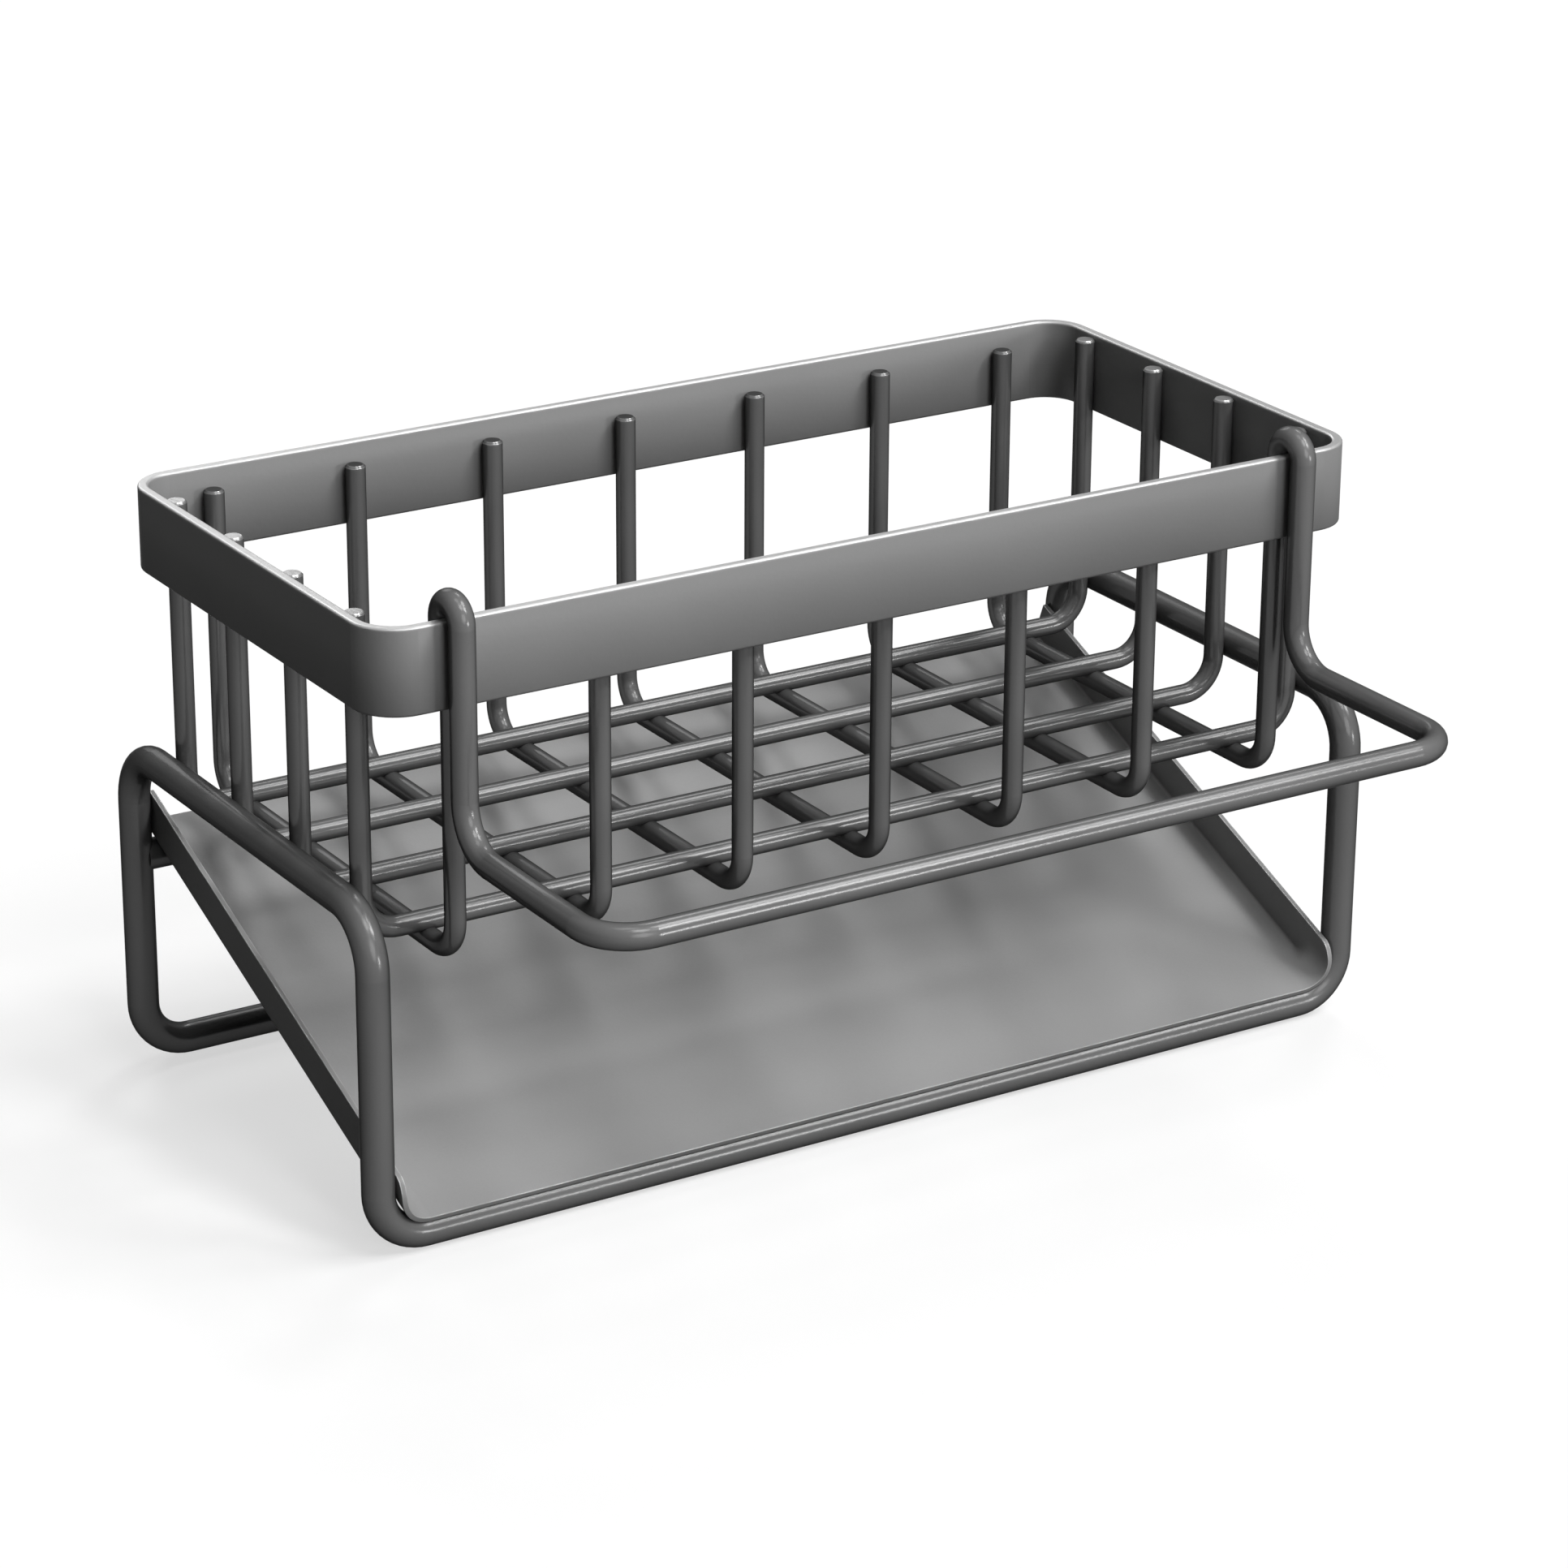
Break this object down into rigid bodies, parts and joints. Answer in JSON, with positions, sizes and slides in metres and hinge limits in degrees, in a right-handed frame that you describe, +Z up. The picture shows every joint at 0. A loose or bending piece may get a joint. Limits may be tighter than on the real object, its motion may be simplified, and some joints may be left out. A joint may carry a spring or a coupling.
{
  "type": "sponge holder",
  "caption": "Wire sponge basket with a flat rim band on a bent wire stand, with a sloping drip tray below and a cloth rail hooked on the front.",
  "frame": {"origin": "on the worktop, under the middle of the whole holder's bounding box, with the cloth rail and the drip tray in place", "axes": "+X along the length, to the right as seen from the front; -Y towards the front, where the cloth rail is; +Z up"},
  "size_m": [0.2156, 0.1538, 0.1211],
  "materials": {
    "stand_wire": "satin gunmetal coating on round wire",
    "basket_wire": "satin gunmetal coating on round wire",
    "band_strip": "satin gunmetal coating on flat strip",
    "tray_sheet": "satin gunmetal coating on sheet",
    "rail_wire": "satin gunmetal coating on round wire"
  },
  "bodies": {
    "holder": {"rim_band": "band_strip", "long_wire_1": "basket_wire", "long_wire_2": "basket_wire", "long_wire_3": "basket_wire", "long_wire_4": "basket_wire", "cross_wire_1": "basket_wire", "cross_wire_2": "basket_wire", "cross_wire_3": "basket_wire", "cross_wire_4": "basket_wire", "cross_wire_5": "basket_wire", "cross_wire_6": "basket_wire", "cross_wire_7": "basket_wire", "stand_frame": "stand_wire", "rear_crossbar": "stand_wire"},
    "tray": {"drip_tray": "tray_sheet"},
    "rail": {"cloth_rail": "rail_wire"}
  },
  "joints": [
    {"name": "tray_slide", "type": "slide", "parent": "holder", "child": "tray", "axis": [0, -1, 0], "range_m": [0, 0.106]},
    {"name": "rail_lift", "type": "slide", "parent": "holder", "child": "rail", "axis": [0, 0, 1], "range_m": [0, 0.05]}
  ]
}
